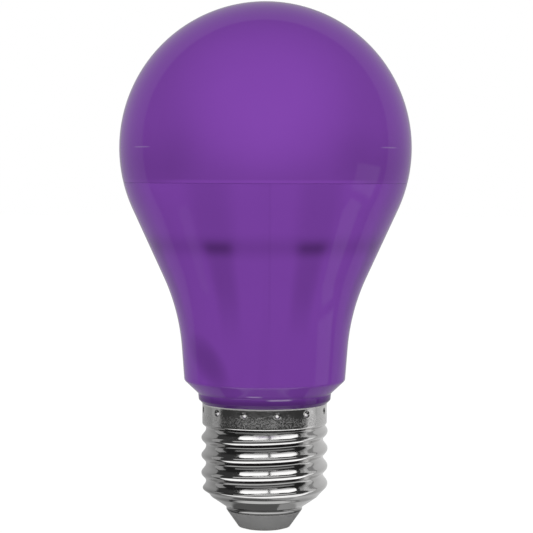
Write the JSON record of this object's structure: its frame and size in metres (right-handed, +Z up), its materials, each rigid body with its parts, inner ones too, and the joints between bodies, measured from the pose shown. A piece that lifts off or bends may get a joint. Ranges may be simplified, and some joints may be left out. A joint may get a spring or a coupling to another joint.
{
  "type": "led bulb",
  "caption": "Round purple bulb with a translucent globe, a flared one-piece housing and a threaded nickel-plated cap, with its light board and driver inside.",
  "frame": {"origin": "the middle of the centre contact's underside, on the bulb's axis", "axes": "+Z runs up the axis from the centre contact to the top of the globe, so the bulb stands cap down. +X and +Y are across it, and the picture looks along +Y."},
  "size_m": [0.06, 0.06, 0.1084],
  "materials": {
    "purple_diffuser": "smooth, glossy and slightly translucent purple plastic",
    "purple_housing": "smooth, glossy purple plastic",
    "cap_metal": "bright nickel plate on thin rolled brass",
    "grey_insulator": "matte grey moulded plastic",
    "contact_metal": "tinned brass rivet",
    "cup_aluminium": "drawn aluminium, satin",
    "white_board": "aluminium board with a white mask",
    "led_package": "white package with a yellow window",
    "white_socket": "white moulded nylon",
    "steel_fastener": "zinc-plated steel",
    "tinned_pin": "tinned brass",
    "green_board": "green glass-fibre board",
    "black_sleeve": "black shrink sleeve with no print, over an aluminium can",
    "yellow_film": "yellow moulded box",
    "black_package": "black moulded epoxy",
    "ferrite": "dark grey ferrite",
    "copper_wire": "enamelled copper winding",
    "resistor_coat": "green cement coat",
    "tinned_wire": "tinned copper wire"
  },
  "bodies": {
    "root": {"diffuser_globe": "purple_diffuser", "housing": "purple_housing", "heat_sink_cup": "cup_aluminium", "led_board": "white_board", "board_socket": "white_socket", "driver_board": "green_board", "input_capacitor": "black_sleeve", "output_capacitor": "black_sleeve", "filter_capacitor": "yellow_film", "bridge_rectifier": "black_package", "driver_chip": "black_package", "inductor_core": "ferrite", "inductor_coil": "copper_wire", "fusible_resistor": "resistor_coat", "shell_lead": "tinned_wire", "cap_shell": "cap_metal", "cap_insulator": "grey_insulator", "centre_contact": "contact_metal", "led_chip_1": "led_package", "led_chip_2": "led_package", "led_chip_3": "led_package", "led_chip_4": "led_package", "led_chip_5": "led_package", "led_chip_6": "led_package", "led_chip_7": "led_package", "led_chip_8": "led_package", "board_screw_1": "steel_fastener", "board_screw_2": "steel_fastener", "board_screw_3": "steel_fastener", "driver_pin_1": "tinned_pin", "driver_pin_2": "tinned_pin"}
  },
  "joints": []
}
